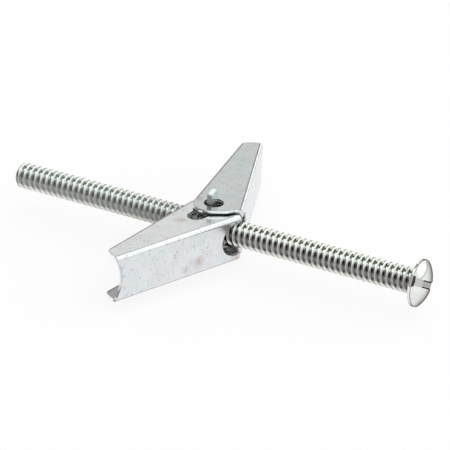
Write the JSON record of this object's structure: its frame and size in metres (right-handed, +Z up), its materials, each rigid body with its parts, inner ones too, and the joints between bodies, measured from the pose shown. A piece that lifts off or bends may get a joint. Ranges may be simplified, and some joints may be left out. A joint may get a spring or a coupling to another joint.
{
  "type": "spring toggle bolt",
  "caption": "Long slotted round head machine screw through a trunnion nut that carries a pair of spring-opened folding channel wings, for fixing to a hollow wall.",
  "frame": {"origin": "the screw's axis at the underside of its head, where the hole of the fixed item sits", "axes": "+X along the screw towards its head, +Z up along the pivot line of the wings, +Y to the left wing"},
  "size_m": [0.0776, 0.0502, 0.013],
  "materials": {
    "screw_plate": "bright zinc plate",
    "nut_plate": "bright zinc plate",
    "wing_plate": "satin zinc plate",
    "spring_wire": "drawn wire"
  },
  "bodies": {
    "nut": {"trunnion_nut": "nut_plate", "torsion_spring": "spring_wire"},
    "screw": {"machine_screw": "screw_plate"},
    "left_wing": {"left_wing": "wing_plate"},
    "right_wing": {"right_wing": "wing_plate"}
  },
  "joints": [
    {"name": "left_fold", "type": "hinge", "parent": "nut", "child": "left_wing", "pos_m": [-0.0383, 0, 0], "axis": [0, 0, 1], "range_deg": [0, 69], "stiffness_Nm_per_rad": 0.004, "springref_deg": -57.3, "deforming": ["torsion_spring"]},
    {"name": "right_fold", "type": "hinge", "parent": "nut", "child": "right_wing", "pos_m": [-0.0383, 0, 0], "axis": [0, 0, -1], "range_deg": [0, 69], "stiffness_Nm_per_rad": 0.004, "springref_deg": -57.3, "deforming": ["torsion_spring"]},
    {"name": "screw_travel", "type": "slide", "parent": "nut", "child": "screw", "axis": [1, 0, 0], "range_m": [-0.032, 0.036]}
  ]
}
